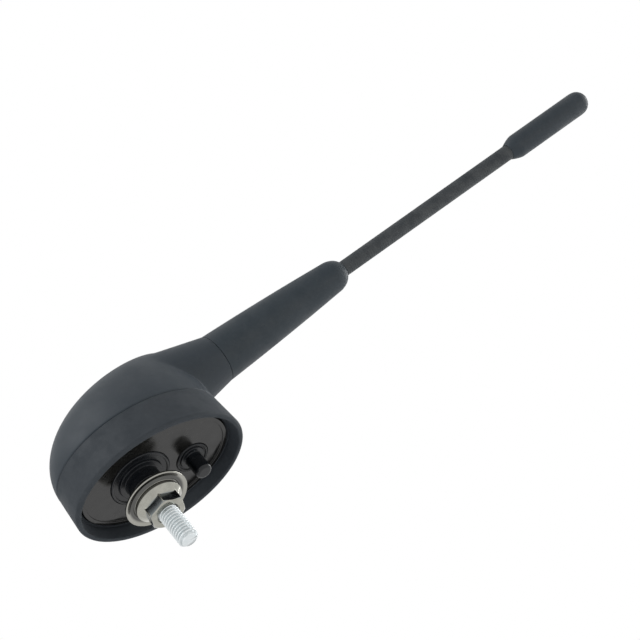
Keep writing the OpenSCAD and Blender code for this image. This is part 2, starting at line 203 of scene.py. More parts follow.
# %% [markdown]
# ## The floor
# A pale floor lies just under the stud's end. The photograph's camera stands below it, so the floor
# has to be one-sided: a ray that meets its back passes through, and so does the light of the lamps
# that fill the underside. From above it takes the antenna's shadow. For camera rays a little light
# is added that grows with the distance, so the floor fades into the white and shows no horizon.

# %% Lay the floor
def floor_material(near=0.25, far=1.0):
    """White from above, clear from below, and fading into the white between two distances in metres."""
    made = bpy.data.materials.new("floor_white")
    made.use_nodes = True
    tree = made.node_tree
    tree.nodes.clear()
    path = tree.nodes.new("ShaderNodeLightPath").outputs
    back = tree.nodes.new("ShaderNodeNewGeometry").outputs["Backfacing"]
    spot = tree.nodes.new("ShaderNodeTexCoord").outputs["Object"]
    distance = node(tree, "ShaderNodeVectorMath", {"operation": "LENGTH"}, Vector=spot).outputs["Value"]
    lift = (ramped(Term(distance), near, far) * 0.5 + 0.5) * path["Is Camera Ray"]
    paint = node(tree, "ShaderNodeBsdfDiffuse", Color=(0.82, 0.82, 0.82, 1))
    pale = node(tree, "ShaderNodeAddShader", None, paint, node(tree, "ShaderNodeEmission", Strength=lift))
    white, clear = tree.nodes.new("ShaderNodeEmission"), tree.nodes.new("ShaderNodeBsdfTransparent")
    mirrored = node(tree, "ShaderNodeMixShader", None, path["Is Glossy Ray"], pale, white)
    through = Term(back).math("MAXIMUM", path["Is Shadow Ray"])
    one_sided = node(tree, "ShaderNodeMixShader", None, through, mirrored, clear)
    node(tree, "ShaderNodeOutputMaterial", Surface=one_sided)
    return made


floor_z = solid_box[0][2] - 2 * MM
half = 1.6
floor_mesh = bpy.data.meshes.new("floor")
floor_mesh.from_pydata([(x * half, y * half, floor_z) for x, y in ((-1, -1), (1, -1), (1, 1), (-1, 1))],
                       [], [(0, 1, 2, 3)])
floor_mesh.materials.append(floor_material())
placed("floor", floor_mesh)
print("floor at", round(floor_z / MM, 1), "mm")

# %% [markdown]
# ## Trees that build a piece
# Each tree gets a named input for every size it needs, so the same rule serves both screws of the
# antenna. It ends in Realize Instances and Set Material. The result becomes a plain mesh and the
# modifier goes, so that the piece keeps its shape wherever it is taken.

# %% Start and end a tree
def start_tree(kind, name, given, results):
    """A tree with named inputs and results. Returns it with its inputs as terms. A number is an input's
    own value, and a word names another kind of socket."""
    tree = bpy.data.node_groups.new(name, kind + "NodeTree")
    for way, sockets in (("OUTPUT", results), ("INPUT", given)):
        for label, value in sockets.items():
            sort = value if isinstance(value, str) else "Float"
            made = tree.interface.new_socket(label, in_out=way, socket_type="NodeSocket" + sort)
            if value != sort:
                made.default_value = value
    entry = tree.nodes.new("NodeGroupInput")
    return tree, {label: Term(entry.outputs[label]) for label in given}


def start_rule(name, sizes):
    """A geometry tree with a named number input for each size."""
    return start_tree("Geometry", name, {**sizes, "Finish": "Material"}, {"Geometry": "Geometry"})


def end_rule(tree, size, shape):
    """Merges the seams, smooths the faces, realises what is instanced and sets the finish."""
    merged = node(tree, "GeometryNodeMergeByDistance", Geometry=shape, Distance=2e-6)
    smooth = node(tree, "GeometryNodeSetShadeSmooth", Geometry=merged)
    real = node(tree, "GeometryNodeRealizeInstances", Geometry=smooth)
    finish = node(tree, "GeometryNodeSetMaterial", Geometry=real, Material=size["Finish"])
    node(tree, "NodeGroupOutput", Geometry=finish)


# %% Run a tree and keep its mesh
def settled(piece):
    """Turns a piece and its modifiers into one plain mesh."""
    graph = bpy.context.evaluated_depsgraph_get()
    plain = bpy.data.meshes.new_from_object(piece.evaluated_get(graph))
    piece.modifiers.clear()
    piece.data = plain
    return piece


def grown(name, tree, sizes):
    """Runs a tree with the given sizes and keeps its result as a plain mesh."""
    piece = placed(name, bpy.data.meshes.new(name + "_seed"))
    rule = piece.modifiers.new("rule", "NODES")
    rule.node_group = tree
    for item in tree.interface.items_tree:
        if item.in_out == "INPUT" and item.name in sizes:
            rule[item.identifier] = sizes[item.name]
    settled(piece)
    print(name, "has", len(piece.data.polygons), "faces")
    return piece


# %% Lay a grid and bend it
def sheet(tree, columns, rows):
    """A grid of points, with the turn and the height of each as terms from 0 to 1."""
    flat = node(tree, "GeometryNodeMeshGrid", None, 1.0, 1.0, columns + 1, rows + 1)
    x, y, _ = split(tree, tree.nodes.new("GeometryNodeInputPosition"))
    return flat, x + 0.5, y + 0.5


def bent(tree, flat, x, y, z):
    """The grid with every point moved to the place that three terms give, in millimetres."""
    place = node(tree, "ShaderNodeCombineXYZ", None, x * MM, y * MM, z * MM)
    return node(tree, "GeometryNodeSetPosition", Geometry=flat, Position=place)


# %% [markdown]
# ## Turned and oval pieces
# The skirt, the plate and most of the mast are sections carried round a circle or an oval. One
# function makes a skin from a stack of rings. Real moulded and turned parts have no knife edges,
# so another function rounds the corners of a section first: each arc is an exact part of a circle,
# with a row just before and after it, which keeps the flat faces beside it looking flat.

# %% Round the corners of a section
def rounded(corners, steps=5, margin=0.12):
    """Rows of a section. A corner is (radius, height), (radius, height, round) or (half length, half
    width, height, round)."""
    corners = [c if len(c) == 4 else (c[0], *c, 0)[:4] for c in corners]
    points = [np.array(c[:3], float) for c in corners]
    rows = []
    for i, point in enumerate(points):
        r = corners[i][3]
        if r == 0:
            rows.append(point)
            continue
        before, after = points[i - 1] - point, points[(i + 1) % len(points)] - point
        before, after = before / np.hypot(before[0], before[2]), after / np.hypot(after[0], after[2])
        half = np.arccos(np.clip(-before[0] * after[0] - before[2] * after[2], -1, 1)) / 2
        reach = r * np.tan(half)
        a, b, w = point + before * reach, point + after * reach, np.cos(half)
        rows.append(a + before * margin * r)
        for t in np.arange(steps + 1) / steps:
            f, g, h = (1 - t) ** 2, 2 * t * (1 - t) * w, t * t
            rows.append((f * a + g * point + h * b) / (f + g + h))
        rows.append(b + after * margin * r)
    return rows


# %% Wrap a section round
def shaped(name, verts, rings, closed, lie=None):
    """A smooth piece from points in millimetres and rings of them, laid along the mast where asked."""
    faces, rings = [], [*rings, rings[0]] if closed else rings
    for low, high in zip(rings, rings[1:]):
        for a, b, c, d in zip(low, (*low[1:], low[0]), (*high[1:], high[0]), high):
            face = list(dict.fromkeys((a, b, c, d)))
            if len(face) > 2:
                faces.append(face)
    mesh = bpy.data.meshes.new(name)
    mesh.from_pydata([Vector(v) * MM for v in verts], [], faces)
    mesh.shade_smooth()
    if lie:
        mesh.transform(lie)
    return placed(name, mesh)


def skin(name, corners, centre=(0, 0), count=128, lie=None):
    """A piece from a section's corners, carried round in a number of columns. A section that doesn't
    start on the axis closes on itself."""
    verts, rings = [], []
    for a, b, z in rounded(corners):
        wide = a > 1e-6
        rings.append(range(len(verts), len(verts) + count) if wide else [len(verts)] * count)
        verts += [(centre[0] + a * cos(t), centre[1] + b * sin(t), z)
                  for t in (np.arange(count) * 2 * pi / count if wide else [0])]
    return shaped(name, verts, rings, corners[0][0] > 0, lie)


# %% Say what a piece stands for
wearers = []


def stands_for(piece, body, slot, *solids):
    """Lets a piece move with its body, take its slot, stand for its solids and wait for its finish."""
    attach(piece, body)
    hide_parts(*solids)
    wearers.append((piece, slot))


# %% [markdown]
# ## The skirt
# The skirt is soft rubber, moulded in one ring: a lip that seals on the roof, a groove that holds
# the plate, and a wall that stands round the cover's foot. Its section changes a little round the
# oval, because the side slopes more across than along, so the corners are given as half length,
# half width, height and rounding.

# %% Mould the skirt
base_mid = (4.6, 0)
foot_long, foot_wide, foot_high = 26.05, 19.05, 12.2
plate_top = 5.6
skirt = skin("skirt", [
    (26.8, 20.2, 0, 0.9), (foot_long, foot_wide, foot_high, 0.35), (24.5, 17.5, foot_high, 0.15),
    (24.5, 17.5, plate_top, 0.05), (23.45, 16.85, plate_top, 0.1), (23.45, 16.85, 4.1, 0.15),
    (24.4, 17.8, 4.1, 0.15), (24.45, 17.85, 3.3, 0.3), (25.2, 18.6, 0, 0.4)], base_mid, count=192)
stands_for(skirt, "base", "skirt_rubber", "skirt_gasket")
print("skirt stands", round(skirt.dimensions.z / MM, 1), "mm high")

# %% [markdown]
# ## The plate, the bush and the peg
# A gloss black plate closes the base from below. It has a ridge along its edge round a sunk panel.
# The bush carries the stud, and the peg keeps the antenna from turning on the roof. Both have a
# flange with a fine bead along its edge, which gives the rings of light in the photograph.

# %% Mould the plate with its two seats
plate = skin("plate", [
    (0, 3.8), (22.0, 15.4, 3.8, 0.18), (22.0, 15.4, 3.4, 0.18), (23.3, 16.7, 3.4, 0.25),
    (23.3, 16.7, plate_top, 0.1), (22.1, 15.1, plate_top, 0.1), (22.1, 15.1, 8.0, 0.2),
    (20.7, 13.7, 8.0, 0.2), (20.7, 13.7, plate_top, 0.1), (0, plate_top)], base_mid, count=192)


def bored(piece, tool):
    """Cuts a tool out of a piece, and removes the tool."""
    cut = piece.modifiers.new("bore", "BOOLEAN")
    cut.object, cut.operation, cut.solver = tool, "DIFFERENCE", "EXACT"
    settled(piece)
    bpy.data.objects.remove(tool)


peg_place = (16.3, 3.3)
bored(plate, skin("bush_seat", [(0, 2), (9.45, 2), (9.45, 4.8), (5.35, 4.8), (5.35, 6), (0, 6)]))
bored(plate, skin("peg_seat", [(0, 2), (5.15, 2), (5.15, 4.6), (2.55, 4.6), (2.55, 6), (0, 6)], peg_place))
plate.data.set_sharp_from_angle(angle=radians(40))
stands_for(plate, "base", "plate_plastic", "base_plate")

# %% Turn the bush and the peg
bush = skin("bush", [
    (3.05, -1.2, 0.15), (5.3, -1.2, 0.3), (5.3, 2.9, 0.2), (6.75, 2.9, 0.25), (7.0, 3.8, 0.08),
    (8.4, 3.8, 0.08), (8.4, 3.35, 0.4), (9.3, 3.35, 0.4), (9.3, 4.8, 0.1), (5.3, 4.8), (5.3, plate_top),
    (3.05, plate_top)])
stands_for(bush, "base", "bush_plastic", "stud_bush")
peg = skin("peg", [
    (0, -3.0), (2.5, -3.0, 0.9), (2.5, 3.3, 0.2), (3.75, 3.3, 0.2), (3.9, 3.8, 0.08), (4.2, 3.8, 0.08),
    (4.2, 3.4, 0.36), (5.0, 3.4, 0.36), (5.0, 4.6, 0.1), (2.5, 4.6), (2.5, plate_top),
    (3.3, plate_top, 0.1), (3.0, 6.4, 0.2), (0, 6.5)], peg_place)
stands_for(peg, "base", "bush_plastic", "locating_peg")
print("bush and peg are", [round(piece.dimensions.z / MM, 1) for piece in (bush, peg)], "mm high")

# %% [markdown]
# ## The cover
# The cover is one moulding: an egg-like dome whose crown lies behind the stud, with a neck that
# leans back out of it to take the mast. Its outline follows a rule. At each height the front, the
# back and the sides have drawn in by a power of that height, so a grid of angle and height can be
# bent straight into the dome. The neck is a second grid. The two are joined, hollowed and bored
# with Boolean nodes, as a mould's core and pins would do it.

# %% Set the mast's place and the cover's sizes
mast_lean = radians(7.7)
mast_turn = pi / 2 - mast_lean
mast_joint = Vector((39.4, 0, 27.5)) * MM
joint_radius = 7.45
along_mast = Matrix.Translation(mast_joint) @ Matrix.Rotation(mast_turn, 4, "Y")
cover_sizes = {
    "Base middle": base_mid[0], "Half length": foot_long, "Half width": foot_wide, "Foot height": foot_high,
    "Foot round": 0.6, "Crown height": 25.9, "Crown behind stud": 25.0, "Wall": 2.2, "Neck length": 24.0,
    "Neck radius": joint_radius, "Edge round": 0.25, "Root radius": 12.8, "Root rise": 1.9, "Root flat": 2.4}
front_powers, back_powers, side_powers = (1.9, 0.4), (2.55, 0.35), (1.5, 0.43)
flat_from = 0.7
print("mast joint at", [round(v / MM, 1) for v in mast_joint], "mm")

# %% Write the rule of the dome and the neck
def capped(v, rows):
    """For a grid whose end rows close it: 0 in those rows and 1 elsewhere, and the way between them."""
    step = 1 / rows
    spread = (v / step).math("MINIMUM", (1 - v) / step).math("MINIMUM", 1.0)
    return spread, held((v - step) / (1 - 2 * step), 0.0, 1.0)


def tucked(height, edge):
    """How far a rounded edge has drawn in at a height above its end."""
    tuck = (1 - height / edge).math("MAXIMUM", 0.0)
    return edge * (1 - (1 - tuck * tuck).math("SQRT"))


def dome_oval(size, k, pulled=0.0):
    """The dome's front end, back end and half width at a share k of its height, drawn in by a length."""
    front, back, wide = ((1 - k ** rise) ** draw for rise, draw in (front_powers, back_powers, side_powers))
    crown, half = size["Crown behind stud"], size["Half length"]
    x0 = crown - (crown - size["Base middle"] + half - pulled) * front
    x1 = crown + (size["Base middle"] + half - pulled - crown) * back
    return x0, x1, (size["Half width"] - pulled) * wide


def neck_oval(size, t):
    """The neck's half width and its flattening at a share t of its length, counted from the joint."""
    radius = size["Neck radius"] + (size["Root radius"] - size["Neck radius"]) * t
    return radius, size["Root flat"] * held((t - flat_from) / (1 - flat_from), 0.0, 1.0) ** 1.5


# %% Bend a grid into each of them
def dome(tree, size, inset, columns, rows):
    """The dome's skin, drawn in by an inset, closed by a flat foot."""
    flat, u, v = sheet(tree, columns, rows)
    angle = u * (2 * pi)
    spread, share = capped(v, rows)
    k = (share ** 1.5 * (pi / 2)).math("SINE").math("MINIMUM", 0.99995)
    height = (size["Crown height"] - inset) * k
    x0, x1, wide = dome_oval(size, k, tucked(height, size["Foot round"]) + inset)
    x = (x0 + x1) * 0.5 + (x1 - x0) * 0.5 * spread * angle.math("COSINE")
    return bent(tree, flat, x, wide * spread * angle.math("SINE"), size["Foot height"] + height)


def neck(tree, size, columns, rows):
    """The neck's skin, closed at both ends, with a rounded edge at the joint, and leant to the mast."""
    flat, u, v = sheet(tree, columns, rows)
    angle = u * (2 * pi)
    spread, share = capped(v, rows)
    t = (1 - share) ** 1.5
    radius, flattened = neck_oval(size, t)
    radius = radius - tucked(t * size["Neck length"], size["Edge round"])
    x = (radius - flattened) * spread * angle.math("COSINE") - size["Root rise"] * t
    y, z = radius * spread * angle.math("SINE"), t * size["Neck length"] * -1.0
    s, c = sin(mast_lean), cos(mast_lean)
    return bent(tree, flat, x * s + z * c + mast_joint.x / MM, y, z * s - x * c + mast_joint.z / MM)


# %% Join, hollow and bore the cover
def post(tree, radius, z0, z1, width=None):
    """A closed cylinder between two heights: along the mast, or upright and oval with a half width."""
    drum = node(tree, "GeometryNodeMeshCylinder", {"fill_type": "NGON"},
                Vertices=192 if width else 96, Radius=radius * MM, Depth=(z1 - z0) * MM)
    spot = Vector((0, 0, (z0 + z1) / 2 * MM))
    place = spot + Vector((base_mid[0] * MM, 0, 0)) if width else along_mast @ spot
    return node(tree, "GeometryNodeTransform", Geometry=drum, Translation=place,
                Rotation=(0, 0 if width else mast_turn, 0), Scale=(1, (width or radius) / radius, 1))


def carved(tree, way, first, *others):
    """Joins shapes, or takes the others out of the first."""
    made = node(tree, "GeometryNodeMeshBoolean", {"operation": way, "solver": "EXACT"})
    put(first, made.inputs["Mesh 1" if way == "DIFFERENCE" else "Mesh 2"])
    for shape in others:
        put(shape, made.inputs["Mesh 2"])
    return made


tree, size = start_rule("cover_rule", cover_sizes)
outside = carved(tree, "UNION", dome(tree, size, 0.0, 192, 80), neck(tree, size, 128, 60),
                 post(tree, 24.45, plate_top, 12.7, 17.45))
hollow = carved(tree, "UNION", dome(tree, size, size["Wall"], 96, 24),
                post(tree, 22.25, 5.1, 12.21, 15.25))
shell = carved(tree, "DIFFERENCE", outside, hollow)
boss = post(tree, 6.3, -21.6, -4.6)
bore = carved(tree, "UNION", post(tree, 4.3, -22.1, -1.0), post(tree, 5.55, -1.6, 0.5))
cover_shape = carved(tree, "DIFFERENCE", carved(tree, "UNION", shell, boss), bore)
end_rule(tree, size, cover_shape)
cover = grown("cover", tree, cover_sizes)
print("cover reaches", [round(v / MM, 1) for v in cover.dimensions], "mm")

# %% [markdown]
# A mould can't hold a knife-sharp corner where the neck leaves the dome, and the photograph shows a
# small hollow round there. Both skins have a formula, so the distance of a point to each is known.
# A smooth minimum of the two distances describes the pair with a fillet between them, and the
# points near the corner only have to slide onto it.

# %% Measure how far a point lies from each skin
def dome_distance(p):
    """Below 0 inside the dome and above 0 outside, for points in millimetres."""
    k = np.clip((p[:, 2] - foot_high) / cover_sizes["Crown height"], 1e-4, 0.9995)
    x0, x1, wide = dome_oval(cover_sizes, k)
    return np.hypot((p[:, 0] - (x0 + x1) / 2) / ((x1 - x0) / 2), p[:, 1] / wide) - 1


def neck_distance(p):
    """The same for the neck."""
    s, c, length = sin(mast_lean), cos(mast_lean), cover_sizes["Neck length"]
    q = (p - np.array(mast_joint) / MM) @ np.array([(s, 0, c), (0, 1, 0), (-c, 0, s)])
    t = np.clip(-q[:, 2] / length, 0, 1)
    radius, flattened = neck_oval(cover_sizes, t)
    across = (q[:, 0] + cover_sizes["Root rise"] * t) / (radius - flattened)
    return np.hypot(across, q[:, 1] / radius) - 1 + np.maximum(-length - q[:, 2], 0) / 12


def slopes(rule, p, h=0.01):
    """How steeply a rule's value changes along x, y and z at some points."""
    return np.stack([(rule(p + h * e) - rule(p - h * e)) / (2 * h) for e in np.eye(3)], 1)


def both_distances(p):
    """The rules' values turned into millimetres, by their own slopes."""
    return [rule(p) / np.maximum(np.linalg.norm(slopes(rule, p), axis=1), 1e-9)
            for rule in (dome_distance, neck_distance)]


# %% Round the corner between dome and neck
fillet = 0.35


def softly(a, b, round_by, sign):
    """The smaller (sign 1) or the larger (sign -1) of two lengths, with a round where they meet."""
    near = np.maximum(round_by - np.abs(a - b), 0) / round_by
    return sign * (np.minimum(sign * a, sign * b) - near ** 2 * round_by / 4)


def blended(p):
    """How far points lie outside the pair, with the fillet between dome and neck."""
    return softly(*both_distances(p), fillet, 1)


points = np.empty(len(cover.data.vertices) * 3)
cover.data.vertices.foreach_get("co", points)
points = points.reshape(-1, 3) / MM
d1, d2 = both_distances(points)
corner = (np.abs(np.minimum(d1, d2)) < 0.05) & (np.maximum(d1, d2) < fillet)
corner &= (points[:, 2] > foot_high + 0.4) & (points[:, 0] < 39)
before = points[corner]
moved = before.copy()
for _ in range(6):
    slope = slopes(blended, moved)
    moved -= np.clip(blended(moved) / (slope ** 2).sum(1), -0.1, 0.1)[:, None] * slope
way = np.linalg.norm(moved - before, axis=1)
moved[way > fillet / 2] = before[way > fillet / 2]
print("fillet moved", len(way), "points by up to", round(float(way[way <= fillet / 2].max()), 2), "mm")
points[corner] = moved
cover.data.vertices.foreach_set("co", (points * MM).ravel())
cover.data.set_sharp_from_angle(angle=radians(28))
cover.data.update()
stands_for(cover, "base", "cover", "dome_cover")

# %% [markdown]
# ## Threads
# A rolled thread is a ridge on a helix. On a grid of angle and turns, each row is raised by one
# pitch over a full turn, so the ridge lies exactly along the rows and its crest stays crisp.
# Rows that run past an end are held at that end, where the taper of the tip has already cut the
# ridge away, and collapse into it.

# %% Write the thread's rule
stud_thread = {"Radius": 3.0, "Pitch": 1.0, "Depth": 0.55, "Start": -22.5, "Length": 27.0, "Tip": 0.84,
               "Lean": 0.0, "Joint x": 0.0, "Joint z": 0.0}
thread_rule, size = start_rule("thread_rule", stud_thread)
columns, turns, rows_per_turn = 64, 30, 16
half_crest, flank = 0.125, 0.625
rows = turns * rows_per_turn
flat, u, v = sheet(thread_rule, columns, rows)
turn = v * turns
wave = ((turn + 0.001).math("FRACT") * 2 - 1).math("ABSOLUTE")
cutting = held((wave - half_crest) / flank, 0.0, 1.0)
height = held((turn - 1 + u) * size["Pitch"], 0.0, size["Length"])
taper = size["Radius"] - size["Tip"] + height
closing = (size["Length"] - height) * 4 + size["Radius"] - size["Depth"]
radius = (size["Radius"] - size["Depth"] * cutting).math("MINIMUM", taper).math("MINIMUM", closing)
for end in (v, 1 - v):
    radius = radius * (end * rows).math("MINIMUM", 1.0)
angle, lean = u * (2 * pi), size["Lean"]
x, y, z = radius * angle.math("COSINE"), radius * angle.math("SINE"), height + size["Start"]
s, c = lean.math("SINE"), lean.math("COSINE")
leant = bent(thread_rule, flat, x * c + z * s + size["Joint x"], y, z * c - x * s + size["Joint z"])
end_rule(thread_rule, size, leant)

# %% Cut the stud's thread and set its head
stud = grown("stud", thread_rule, stud_thread)


def joined(piece, *others):
    """Puts other pieces' meshes into the first one, as loose shells of one piece."""
    together = bmesh.new()
    for part in (piece, *others):
        together.from_mesh(part.data)
    together.to_mesh(piece.data)
    together.free()
    for part in others:
        bpy.data.objects.remove(part)


shank = skin("shank", [(0, 4.2), (3.0, 4.2, 0.2), (3.0, 6.3), (0, 6.3)])
head = skin("head", [(0, 6.3), (5.77, 6.3, 0.2), (5.77, 9.6, 0.2), (4.85, 10.3, 0.2), (0, 10.3)], count=6)
joined(stud, shank, head)
stud.data.set_sharp_from_angle(angle=radians(65))
stands_for(stud, "base", "zinc_steel", "fixing_bolt")

# %% [markdown]
# ## Washer and nut
# The washer is punched from sheet and pressed into a shallow cup: a flat seat for the nut, a channel
# round it, and a brim that comes back down to a rolled edge. The plating mirrors what it faces, so
# the channel shows dark beside the nut and the brim shows bright, as in the photograph.
# The channel's colour is also painted darker, a painted shade.

# %% Press the washer
channel = [(7.15, -5.36), (7.27, -5.05), (7.48, -4.8), (7.8, -4.68), (8.15, -4.7), (8.5, -4.82),
           (8.85, -5.0), (9.15, -5.18), (9.35, -5.27), (9.5, -5.27), (9.6, -5.18), (9.64, -5.0)]
back = [(9.64, -4.6), (9.45, -4.38), (9.1, -4.18), (8.6, -3.9), (8.1, -3.72), (7.5, -3.7), (7.0, -3.84),
        (6.6, -4.2), (6.3, -4.44), (5.9, -4.5)]
washer = skin("washer", [(3.25, -5.5, 0.1), (7.0, -5.5, 0.1), *channel, *back, (3.25, -4.5, 0.1)],
              count=160)
stands_for(washer, "washer", "nickel_steel", "dished_washer")
print("washer is", round(washer.dimensions.z / MM, 2), "mm high")

# %% [markdown]
# The nut is a hexagon and a flange in one. Seen along its axis, every height is one outline: the
# hexagon with slightly round corners, held inside the chamfer's cone and outside the flange's. A
# smooth minimum and maximum of those radii gives every edge a narrow round, and those rounds carry
# the bright lines by which the eye reads a hexagon.

# %% Forge the nut
nut_end = -11.5


def hexagon_outline(across, turn, corner=0.22):
    """Points round a hexagon with small round corners, closer together near the corners."""
    reach = across / sqrt(3) - corner / cos(pi / 6)
    arcs = [[reach * np.array((cos(a), sin(a))) + corner * np.array((cos(a + t), sin(a + t)))
             for t in np.radians((-30, -18, -6, 6, 18, 30))] for a in turn + np.arange(6) * pi / 3]
    points = []
    for arc, following in zip(arcs, arcs[1:] + arcs[:1]):
        points += arc
        for t in (0.02, 0.08, 0.16, 0.26, 0.38, 0.5, 0.62, 0.74, 0.84, 0.92, 0.98):
            points.append(arc[-1] + (following[0] - arc[-1]) * t)
    return np.array(points)


def cones(z):
    """At a height, the radius that cuts the hexagon's corners and the radius of the flange's slope."""
    return 4.85 + (z - nut_end) * 1.04 / 0.7, np.interp(z, (-8.2, -6.6), (5.3, 6.95)) - 3 * max(-8.2 - z, 0)


profile = [(-11.0, 3.05), (-11.45, 3.5), (-11.5, 3.58), (-11.5, 3.7), (-11.5, 4.7), (-11.48, 4.8)]
for low, high, steps in ((-11.44, -10.5, 20), (-10.3, -8.6, 6), (-8.45, -6.62, 22)):
    profile += [(z, None) for z in np.linspace(low, high, steps)]
profile += [(-6.48 - 0.12 * sin(t), 6.98 + 0.12 * cos(t)) for t in np.radians((80, 60, 40, 20, 0))]
profile += [(-6.3, 7.1), (-5.8, 7.1)]
profile += [(-5.62 + 0.12 * sin(t), 6.98 + 0.12 * cos(t)) for t in np.radians((0, 30, 60, 90))]
profile += [(-5.5, 6.9), (-5.5, 3.7), (-5.5, 3.6), (-5.95, 3.08), (-6.1, 3.05)]
outline = hexagon_outline(10, radians(25))
corner = np.hypot(*outline.T)
verts, rings = [], []
for z, radius in profile:
    chamfer, flange = cones(z)
    reach = radius or softly(softly(corner, chamfer, 0.16, 1), flange, 0.12, -1)
    rings.append(range(len(verts), len(verts) + len(outline)))
    verts += [(x, y, z) for x, y in outline * (reach / corner)[:, None]]
nut = shaped("nut", verts, rings, closed=True)
stands_for(nut, "nut", "nickel_steel", "flange_nut")
print("nut has", len(nut.data.polygons), "faces")

# %% [markdown]
# ## The mast
# The mast is moulded in layers over a glass fibre rod: a rubber grip over a metal ferrule, a thin
# shrunk sleeve over the wire, and a cap pushed on the tip. All of them are round, so each is a
# section turned about the mast's axis. The grip's side swells very slightly between its ends.

# %% Turn the grip
nose_wide, nose_long, nose_mid = 3.775, 5.6, 1.175
stop = np.arccos((2.35 - nose_mid) / nose_wide)
foot_z, nose_z = 0.04, 48.4 - nose_long * sin(stop)
grip_side = [(joint_radius - 2.5 * k + 0.8 * k * (1 - k), foot_z + (nose_z - foot_z) * k, 0 if k else 0.06)
             for k in np.linspace(0, 1, 25)]
nose = [(nose_mid + nose_wide * cos(t), nose_z + nose_long * sin(t)) for t in np.linspace(0, stop, 17)[1:]]
keys = [(radius, z - drop) for z in (20, 12)
        for radius, drop in ((4.0, 0), (3.3, 0.7), (3.3, 2.3), (4.0, 3))]
grip = skin("grip", [(5.0, foot_z), *grip_side, *nose, (2.35, 28), (3.2, 28), (4.0, 27.2), *keys,
                     (4.0, 1.6), (5.0, 1.6)], lie=along_mast)
stands_for(grip, "mast", "grip_rubber", "mast_grip")

# %% Turn the sleeve and the cap
sleeve_z, cap_z, sleeve_end = 28, 115.9, 118.9
sleeve_side = [(2.35, sleeve_z + (sleeve_end - sleeve_z) * k) for k in np.linspace(0, 1, 60)]
sleeve = skin("sleeve", [(1.9, sleeve_z), *sleeve_side, (1.9, sleeve_end)], count=64, lie=along_mast)
stands_for(sleeve, "mast", "sleeve_rubber", "mast_sleeve")
shoulder = [(2.55 + 1.2 * sin(t), cap_z + 3.8 * (0.35 * (1 - cos(t)) + 0.65 * sin(t)))
            for t in np.linspace(0, pi / 2, 13)[1:]]
tip = [(3.69 * cos(t), 148.8 - 3.69 * (1 - sin(t))) for t in np.linspace(0, pi / 2, 17)[:-1]]
cap = skin("cap", [(0, 143.55), (1.5, 143.55), (1.5, sleeve_end), (2.35, sleeve_end), (2.35, cap_z, 0.05),
                   (2.55, cap_z, 0.08), *shoulder, (3.75, 130), (3.75, 144.9), *tip, (0, 148.8)],
           count=96, lie=along_mast)
stands_for(cap, "mast", "cap_rubber", "tip_cap")
for piece in (grip, sleeve, cap):
    piece.data.set_sharp_from_angle(angle=radians(35))
print("mast reaches", round(cap.dimensions.x / MM, 1), "mm along its cap")

# %% [markdown]
# ## What the mast hides
# Inside the grip sits a turned ferrule whose screw goes into the neck. The stud's thread rule cuts it
# too: only its sizes change, and the lean turns it to the mast. A glass fibre rod carries the real
# aerial, a fine wire wound at an even pitch: a spiral curve with a round profile.

# %% Turn the ferrule and the ring that seals it
ferrule = grown("ferrule", thread_rule, {
    "Radius": 2.5, "Pitch": 0.8, "Depth": 0.44, "Start": -11.1, "Length": 9.9, "Tip": 0.8,
    "Lean": mast_turn, "Joint x": mast_joint.x / MM, "Joint z": mast_joint.z / MM})
barrel = skin("barrel", [(0, -1.6), (3.1, -1.6, 0.12), (3.1, 0), (5.0, 0, 0.15), (5.0, 1.6, 0.15),
                         (4.0, 1.6), *keys[::-1], (4.0, 27.2), (3.2, 28), (1.5, 28, 0.1), (1.5, 8), (0, 8)],
              lie=along_mast)
joined(ferrule, barrel)
ferrule.data.set_sharp_from_angle(angle=radians(40))
stands_for(ferrule, "mast", "nickel_steel", "mast_ferrule")
ring = skin("ring", [(4.2 + 0.8 * cos(t), -0.8 + 0.8 * sin(t)) for t in np.linspace(0, 2 * pi, 33)[:-1]],
            count=96, lie=along_mast)
stands_for(ring, "mast", "seal_rubber", "seal_ring")

# %% Draw the rod and wind its wire
core = skin("core", [(0, 8), (1.5, 8, 0.1), (1.5, 143.55, 0.15), (0, 143.55)], count=48, lie=along_mast)
stands_for(core, "mast", "glass_fibre", "mast_core")
coil_sizes = {"Coil radius": 1.7, "Wire radius": 0.2, "Pitch": 0.8, "Start": 28.2, "End": 118.7}
tree, size = start_rule("winding_rule", coil_sizes)
run, wide, start = size["End"] - size["Start"], size["Coil radius"] * MM, size["Start"] * MM
coil = node(tree, "GeometryNodeCurveSpiral", Resolution=20, Rotations=run / size["Pitch"],
            Start_Radius=wide, End_Radius=wide, Height=run * MM)
wire = node(tree, "GeometryNodeCurvePrimitiveCircle", Resolution=6, Radius=size["Wire radius"] * MM)
drawn = node(tree, "GeometryNodeCurveToMesh", Curve=coil, Profile_Curve=wire, Fill_Caps=True)
spot = node(tree, "ShaderNodeCombineXYZ", X=start * cos(mast_lean) + mast_joint.x,
            Z=start * sin(mast_lean) + mast_joint.z)
laid = node(tree, "GeometryNodeTransform", Geometry=drawn, Translation=spot, Rotation=(0, mast_turn, 0))
end_rule(tree, size, laid)
winding = grown("winding", tree, coil_sizes)
stands_for(winding, "mast", "copper_wire", "mast_winding")

# %% [markdown]
# ## The contact inside the cover
# A brass strip leads from the stud's head to the socket in the neck, held by a screw and a split
# washer. These small parts keep the solid model's shape, with their edges softened as pressing and
# barrel polishing leave them.

